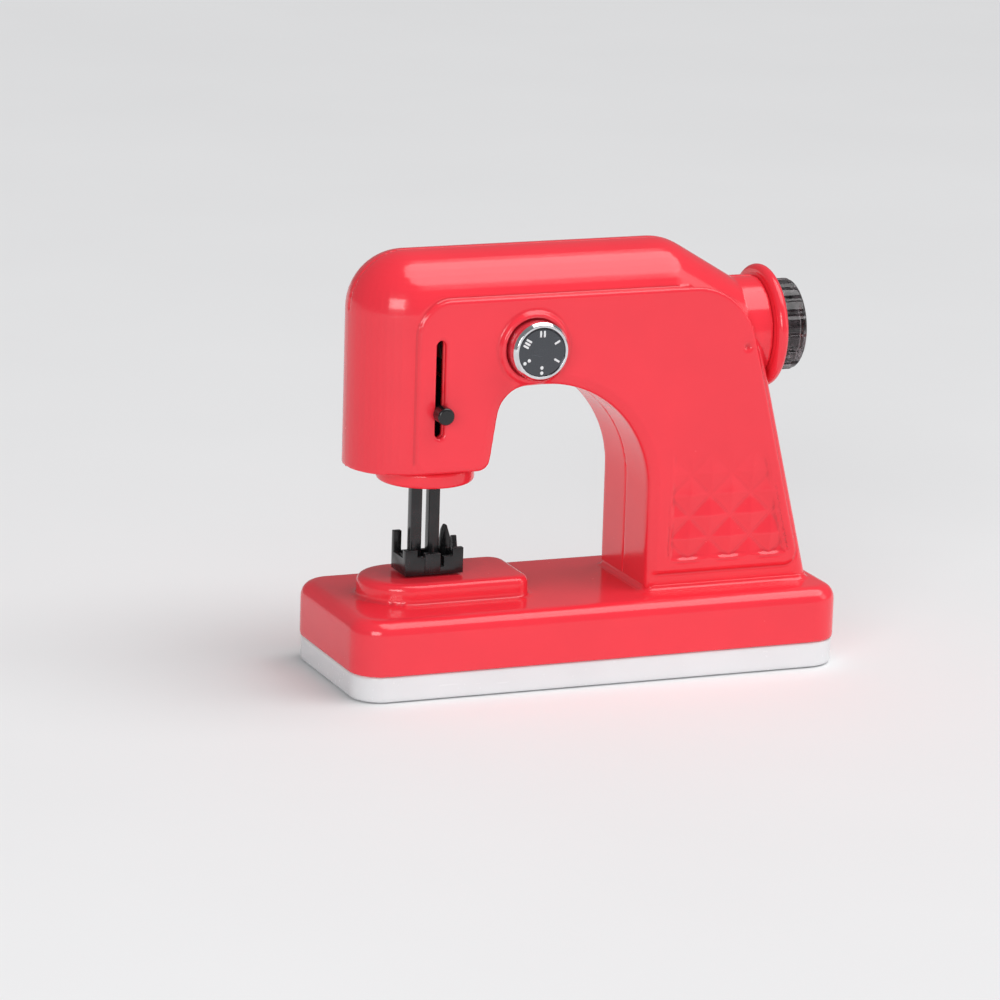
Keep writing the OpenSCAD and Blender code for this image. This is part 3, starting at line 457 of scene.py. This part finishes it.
def run_round(name, loop, profile):
    """A closed profile of (out, up) points carried round an outline."""
    work = bmesh.new()
    rings = [[work.verts.new(place + normal * out + Vector((0, 0, up))) for out, up in profile]
             for place, normal in loop]
    for here, there in zip(rings, rings[1:] + rings[:1]):
        for i in range(len(profile)):
            j = (i + 1) % len(profile)
            work.faces.new((here[i], there[i], there[j], here[j]))
    bmesh.ops.recalc_face_normals(work, faces=work.faces)
    return placed(name, work)


foot_top, foot_low = COLUMN_FOOT + FOOT_HOLLOW, COLUMN_FOOT - FOOT_UNDER
foot_loop = plan_loop(THROAT_WALL, COLUMN_RIGHT, HALF_DEPTH, COLUMN_LEFT_EDGE, COLUMN_RIGHT_EDGE)
hollow = [(FOOT_HOLLOW - a, foot_top - b) for a, b in arc((0, 0), FOOT_HOLLOW, 0, 90, steps=8)]
fillet = run_round("column_fillet", foot_loop,
                   [(-FOOT_IN, foot_low), (-FOOT_IN, foot_top), *hollow, (FOOT_HOLLOW, foot_low)])
finish_piece(fillet, coral_abs, "machine", "shell_red")

# Lining of the lever's slot: a rib behind the head's front wall that guides the lever.
# It is part of the front half's moulding, and shows as a deep wall inside the slot.

SLOT_X, SLOT_HALF, SLOT_LOW, SLOT_HIGH = -0.0676, 0.00195, 0.102, 0.1415
RIB_BACK, RIB_FRONT, RIB_T = 0.0188, 0.0217, 0.0009
slot_loop = plan_loop(SLOT_X - SLOT_HALF, SLOT_X + SLOT_HALF, (SLOT_HIGH - SLOT_LOW) / 2,
                      SLOT_HALF, SLOT_HALF)
lining = run_round("slot_lining", slot_loop,
                   [(0, RIB_BACK), (0, RIB_FRONT), (RIB_T, RIB_FRONT), (RIB_T, RIB_BACK)])
upright = Matrix.Rotation(math.pi / 2, 4, "X")
lining.data.transform(Matrix.Translation((0, 0, (SLOT_LOW + SLOT_HIGH) / 2)) @ upright)
finish_piece(lining, coral_abs, "machine", "shell_red")

# Head: a red flanged collar pressed up into the head, with two black square bars sliding through it.
# A yoke inside joins the bars to the lever, whose black knob runs in the slot on the head's front.


def turned(name, profile, place, along, steps=96, ripple=None):
    """A closed profile of (radius, distance along) points turned about an axis that starts at a place."""
    spin = Vector((0, 0, 1)).rotation_difference(Vector(along)).to_matrix()
    work = bmesh.new()
    rings = []
    for k in range(steps):
        turn = 2 * math.pi * k / steps
        ring = []
        for radius, distance in profile:
            r = ripple(radius, distance, turn) if ripple else radius
            spot = spin @ Vector((r * math.cos(turn), r * math.sin(turn), distance)) + Vector(place)
            ring.append(work.verts.new(spot))
        rings.append(ring)
    count = len(profile)
    for k in range(steps):
        here, there = rings[k], rings[(k + 1) % steps]
        for i in range(count):
            j = (i + 1) % count
            work.faces.new((here[i], here[j], there[j], there[i]))
    bmesh.ops.remove_doubles(work, verts=work.verts, dist=1e-7)
    bmesh.ops.recalc_face_normals(work, faces=work.faces)
    return placed(name, work)


NEEDLE_X = -0.064
collar_low, collar_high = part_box("head_collar")
FLANGE_R, FLANGE_H, FLANGE_ROUND = 0.0197, 0.0064, 0.0016
BORE_R, NECK_R, SPIGOT_R = 0.0158, 0.0173, 0.017
flange_top = collar_low.z + FLANGE_H
collar = turned("head_collar_ring", soft_line([
    (BORE_R, collar_low.z, 0.0006), (FLANGE_R, collar_low.z, FLANGE_ROUND),
    (FLANGE_R, flange_top, FLANGE_ROUND), (NECK_R, flange_top, 0.0004),
    (NECK_R, HEAD_UNDER, 0), (SPIGOT_R, HEAD_UNDER, 0), (SPIGOT_R, collar_high.z, 0.0003),
    (BORE_R, collar_high.z, 0.0003)]), (NEEDLE_X, 0, 0), (0, 0, 1))
finish_piece(collar, coral_abs, "machine", "shell_red", "head_collar")

for bar in ("needle_bar", "presser_bar"):
    piece = eased("square_" + bar, bar, radius=0.0006)
    finish_piece(piece, black_abs, "carriage", "black_plastic", bar)
foot = eased("notched_foot", "presser_foot", radius=0.00035)
finish_piece(foot, black_abs, "carriage", "black_plastic", "presser_foot")
lever = eased("lever_with_knob", "take_up_lever", radius=0.0003)
finish_piece(lever, black_abs, "carriage", "black_plastic", "take_up_lever")
dress(black_abs, "needle_yoke")

# Hand wheel: a red flanged wheel on the shaft, with a smoked clear knob that has soft finger grooves.
# A small bright cap closes the knob and its screw holds both to the wheel.

AXIS_Z = 0.135
wheel_low, wheel_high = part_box("handwheel")
knob_low, knob_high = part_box("handwheel_knob")
RIM_R, RIM_ROUND, SHAFT_R = 0.025, 0.00235, 0.002
BACK_STEP_R, BACK_STEP_OUT, BACK_STEP, DISH_R, DISH = 0.0205, 0.0216, 0.0003, 0.0204, 0.0006
KNOB_R, KNOB_WALL, SKIRT = 0.0186, 0.0022, 0.0025
SEAT_OUT, SEAT_IN = KNOB_R + 0.00015, KNOB_R - 0.002
wheel_back, wheel_face = wheel_low.x, wheel_high.x
wheel_dish, wheel_seat = wheel_face - DISH, wheel_face - SKIRT
wheel = turned("hand_wheel", soft_line([
    (SHAFT_R, wheel_back, 0), (BACK_STEP_R, wheel_back, 0), (BACK_STEP_OUT, wheel_back + BACK_STEP, 0.0008),
    (RIM_R, wheel_back, RIM_ROUND), (RIM_R, wheel_face, RIM_ROUND), (DISH_R, wheel_face, 0.0006),
    (DISH_R, wheel_dish, 0.0003), (SEAT_OUT, wheel_dish, 0.0002), (SEAT_OUT, wheel_seat, 0),
    (SEAT_IN, wheel_seat, 0), (SEAT_IN, wheel_dish, 0.0002), (SHAFT_R, wheel_dish, 0)], steps=8),
    (0, 0, AXIS_Z), (1, 0, 0), steps=128)
finish_piece(wheel, coral_abs, "drive", "shell_red", "handwheel")


def smoked_clear(name, colour):
    """Smoked see-through polystyrene with slightly hazy, scuffed faces."""
    material, place, surface = new_finish(name)
    surface.inputs["Base Color"].default_value = colour
    surface.inputs["Transmission Weight"].default_value = 1.0
    surface.inputs["IOR"].default_value = 1.49
    haze = grain(place, size=0.005, detail=3.0)
    marks = scratches(place, size=0.012, turn=(0.2, 0.5, 1.1))
    join(material.node_tree, surface.inputs["Roughness"], 0.02 + 0.03 * haze + 0.06 * marks)
    bumped(surface, haze - 0.3 * marks, strength=0.03, depth=0.0001)
    return material


GROOVES, GROOVE_R, GROOVE_OUT, GROOVE_START, GROOVE_REACH = 16, 0.002, 0.0012, 0.001, 0.0016
KNOB_ROUND, KNOB_RINGS, CAP_HOLE = 0.0015, (0.0008, 0.0016, 0.004), 0.0015


def grooved(radius, distance, turn):
    """Knob radius with a round finger groove at even steps, only on the outer face."""
    if radius < KNOB_R - GROOVE_REACH or distance < wheel_face + GROOVE_START:
        return radius
    step = 2 * math.pi / GROOVES
    off = (turn + step / 2) % step - step / 2
    far = (KNOB_R + GROOVE_OUT) * math.sin(off)
    if abs(far) >= GROOVE_R:
        return radius
    floor = (KNOB_R + GROOVE_OUT) * math.cos(off) - math.sqrt(GROOVE_R ** 2 - far ** 2)
    return min(radius, floor)


smoked = smoked_clear("smoked_clear", (0.2, 0.17, 0.18, 1))
knob_inside, knob_hollow = knob_high.x - KNOB_WALL, KNOB_R - KNOB_WALL
knob = turned("clear_knob", soft_line([
    (CAP_HOLE, knob_inside, 0), (knob_hollow, knob_inside, 0.001), (knob_hollow, knob_low.x, 0),
    (KNOB_R, knob_low.x, 0), *((KNOB_R, wheel_face + out, 0) for out in KNOB_RINGS),
    (KNOB_R, knob_high.x, KNOB_ROUND), (CAP_HOLE, knob_high.x, 0)], steps=6),
    (0, 0, AXIS_Z), (1, 0, 0), steps=320, ripple=grooved)
finish_piece(knob, smoked, "drive", "smoked_clear", "handwheel_knob")

cap_low, cap_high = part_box("handwheel_cap")
CAP_R, CAP_TAPER, CAP_EDGE, CAP_SCREW_R, CAP_DOME_R = 0.005, 0.0002, 0.0003, 0.0015, 0.002
cap = turned("knob_cap", soft_line([
    (0, cap_low.x, 0), (CAP_SCREW_R, cap_low.x, 0.0003), (CAP_SCREW_R, knob_high.x, 0),
    (CAP_R, knob_high.x, 0.0002), (CAP_R - CAP_TAPER, cap_high.x - CAP_EDGE, 0.0006),
    (CAP_DOME_R, cap_high.x, 0.0008), (0, cap_high.x, 0)], steps=6),
    (0, 0, AXIS_Z), (1, 0, 0), steps=64)
finish_piece(cap, bright_steel, "drive", "bright_steel", "handwheel_cap")

# Dial: a chrome-plated knob on a steel spindle, with a dark mirrored disc set into its face.
# Six raised marks of bars and dots stand on the disc like those of a clock.

DIAL_X, DIAL_Z = -0.0286, 0.1367
dial_low, dial_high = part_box("dial_knob")
face_low, face_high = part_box("dial_face")
DIAL_R, DIAL_BACK, DIAL_BACK_H, DIAL_CHAMFER, DIAL_CHAMFER_H = 0.0119, 0.0004, 0.0008, 0.0011, 0.0012
FACE_R, FACE_FIT, FACE_SEAT, SPINDLE_R = 0.00985, 0.00005, 0.001, 0.003
dial_height = dial_high.y - dial_low.y
chrome = plated_metal("chrome_plate", (0.8, 0.81, 0.83, 1), gloss=0.05, brushing=0.03)
face_seat = dial_height - FACE_SEAT
dial = turned("chrome_dial", soft_line([
    (SPINDLE_R, 0, 0), (DIAL_R - DIAL_BACK, 0, 0.0003), (DIAL_R, DIAL_BACK_H, 0.0005),
    (DIAL_R, dial_height - DIAL_CHAMFER_H, 0.0005), (DIAL_R - DIAL_CHAMFER, dial_height, 0.0005),
    (FACE_R + FACE_FIT, dial_height, 0.0002), (FACE_R + FACE_FIT, face_seat, 0),
    (SPINDLE_R, face_seat, 0)], steps=6),
    (DIAL_X, dial_high.y, DIAL_Z), (0, -1, 0), steps=128)
finish_piece(dial, chrome, "dial", "chrome_trim", "dial_knob")


def dark_mirror(name, colour):
    """Dark mirrored disc with hairline scratches from handling."""
    material, place, surface = new_finish(name)
    cloud = grain(place, size=0.004, detail=3.0)
    crossing = scratches(place, size=0.008, turn=(0.0, -0.6, 0.0))
    marks = scratches(place, size=0.01, turn=(0.0, 0.5, 0.0)).math("MAXIMUM", crossing)
    surface.inputs["Metallic"].default_value = 0.75
    join(material.node_tree, surface.inputs["Base Color"], tint(marks * 0.5, colour, shade(colour, 1.8)))
    join(material.node_tree, surface.inputs["Roughness"], 0.12 + 0.1 * cloud + 0.2 * marks)
    bumped(surface, cloud - 0.5 * marks, strength=0.05, depth=0.00005)
    return material


mirror = dark_mirror("dark_mirror", (0.085, 0.09, 0.1, 1))
DISC_R, DISC_EDGE, DISC_LIP, DISC_CROWN, DISC_FLAT_R = FACE_R - FACE_FIT, 0.00025, 0.0008, 0.0001, 0.004
face_height = face_high.y - face_low.y
disc = turned("dial_disc", soft_line([
    (0, 0, 0), (DISC_R, 0, 0.0001), (DISC_R, face_height - DISC_EDGE, 0.0002),
    (FACE_R - DISC_LIP, face_height - DISC_CROWN, 0.0003), (DISC_FLAT_R, face_height, 0),
    (0, face_height, 0)], steps=4),
    (DIAL_X, face_high.y, DIAL_Z), (0, -1, 0), steps=96)
finish_piece(disc, mirror, "dial", "dial_face", "dial_face")

MARK_HEIGHT, MARK_SUNK, MARK_TAPER, MARK_R = 0.00016, 0.00002, 0.8, 0.0073
BAR_L, BAR_W, BAR_ROUND, PAIR, TRIPLE = 0.0027, 0.0009, 0.00027, 0.0008, 0.0013
DOT_R, DOT_IN, DOT_OUT = 0.00075, 0.001, 0.0011
marks_mesh = bmesh.new()


def raised_mark(outline, turn, out, side):
    """One mark: a low bevelled slug with this outline, out from the middle and turned round the dial."""
    low, high = [], []
    for scale, ring, height in ((1.0, low, 0.0), (MARK_TAPER, high, MARK_HEIGHT)):
        for a, b in outline:
            across, up = side + a * scale, out + b * scale
            x = across * math.cos(turn) + up * math.sin(turn)
            z = up * math.cos(turn) - across * math.sin(turn)
            ring.append(marks_mesh.verts.new((DIAL_X + x, face_low.y - height + MARK_SUNK, DIAL_Z + z)))
    count = len(outline)
    for i in range(count):
        j = (i + 1) % count
        marks_mesh.faces.new((low[i], low[j], high[j], high[i]))
    marks_mesh.faces.new(high)
    marks_mesh.faces.new(low[::-1])


bar_corners = ((-1, -1), (1, -1), (1, 1), (-1, 1))
bar_outline = soft_line([(a * BAR_W / 2, b * BAR_L / 2, BAR_ROUND) for a, b in bar_corners], steps=3)
dot_outline = arc((0, 0), DOT_R, 0, 345, steps=23)
for hour, sides in ((0, (-PAIR, PAIR)), (2, (0,)), (4, (0,)), (10, (-TRIPLE, 0, TRIPLE))):
    for side in sides:
        raised_mark(bar_outline, math.radians(30 * hour), MARK_R, side)
for hour in (6, 8):
    for out in (MARK_R - DOT_IN, MARK_R + DOT_OUT):
        raised_mark(dot_outline, math.radians(30 * hour), out, 0)
bmesh.ops.recalc_face_normals(marks_mesh, faces=marks_mesh.faces)
dial_marks = placed("dial_marks", marks_mesh)
finish_piece(dial_marks, white_abs, "dial", "cover_white")
dress(bright_steel, "dial_spindle")

# Stage: a pale paper floor, a broad lamp overhead, and softboxes in front and on the right.
# The camera stands to the front left and a little above.

FLOOR_REACH, FLOOR_Z = 6.0, -0.0002
floor_mesh = bmesh.new()
bmesh.ops.create_grid(floor_mesh, x_segments=24, y_segments=24, size=FLOOR_REACH)
floor = placed("studio_floor", floor_mesh)
paper, paper_place, paper_surface = new_finish("pale_paper")
paper_cloud = grain(paper_place, size=0.2, detail=3.0)
join(paper.node_tree, paper_surface.inputs["Base Color"],
     tint(paper_cloud, (0.82, 0.82, 0.825, 1), (0.86, 0.86, 0.865, 1)))
paper_surface.inputs["Roughness"].default_value = 0.85
floor.data.materials.append(paper)
floor.location.z = FLOOR_Z

world = bpy.data.worlds.new("studio")
world.use_nodes = True
sky = world.node_tree.nodes["Background"]
sky.inputs["Color"].default_value = (0.94, 0.95, 0.97, 1)
sky.inputs["Strength"].default_value = 0.26
bpy.context.scene.world = world


def hung(name, lamp, place, target):
    """Hangs a lamp at a place and turns it to a target."""
    lamp_object = bpy.data.objects.new(name, lamp)
    bpy.context.collection.objects.link(lamp_object)
    lamp_object.location = place
    lamp_object.rotation_euler = (Vector(target) - Vector(place)).to_track_quat("-Z", "Y").to_euler()


key = bpy.data.lights.new("key_light", "SUN")
key.energy = 2.0
key.angle = math.radians(54)
hung("key_light", key, (0.39, -0.2, 0.9), (0, 0, 0))

LAMPS = (
    ("front_softbox", (-1.5, -2.1, 0.9), (0.0, 0.0, 0.09), 1.4, 1.0, 27.0),
    ("right_softbox", (1.1, -0.5, 0.6), (0.0, 0.0, 0.1), 0.5, 0.9, 2.2),
)
for name, place, target, wide, tall, power in LAMPS:
    lamp = bpy.data.lights.new(name, "AREA")
    lamp.shape = "RECTANGLE"
    lamp.size = wide
    lamp.size_y = tall
    lamp.energy = power
    hung(name, lamp, place, target)

CAMERA_PLACE = Vector((-0.803, -1.871, 0.578))
CAMERA_AHEAD = Vector((0.370, 0.897, -0.244)).normalized()
CAMERA_RIGHT = Vector((0.927, -0.374, 0.029))
camera_data = bpy.data.cameras.new("photo_camera")
camera_data.sensor_width = 36.0
camera_data.lens = 187.1
camera = bpy.data.objects.new("photo_camera", camera_data)
bpy.context.collection.objects.link(camera)
right = (CAMERA_RIGHT - CAMERA_RIGHT.dot(CAMERA_AHEAD) * CAMERA_AHEAD).normalized()
up = right.cross(CAMERA_AHEAD)
camera.matrix_world = Matrix((
    (right.x, up.x, -CAMERA_AHEAD.x, CAMERA_PLACE.x),
    (right.y, up.y, -CAMERA_AHEAD.y, CAMERA_PLACE.y),
    (right.z, up.z, -CAMERA_AHEAD.z, CAMERA_PLACE.z),
    (0, 0, 0, 1)))
bpy.context.scene.camera = camera
bpy.context.scene.view_settings.view_transform = "Standard"
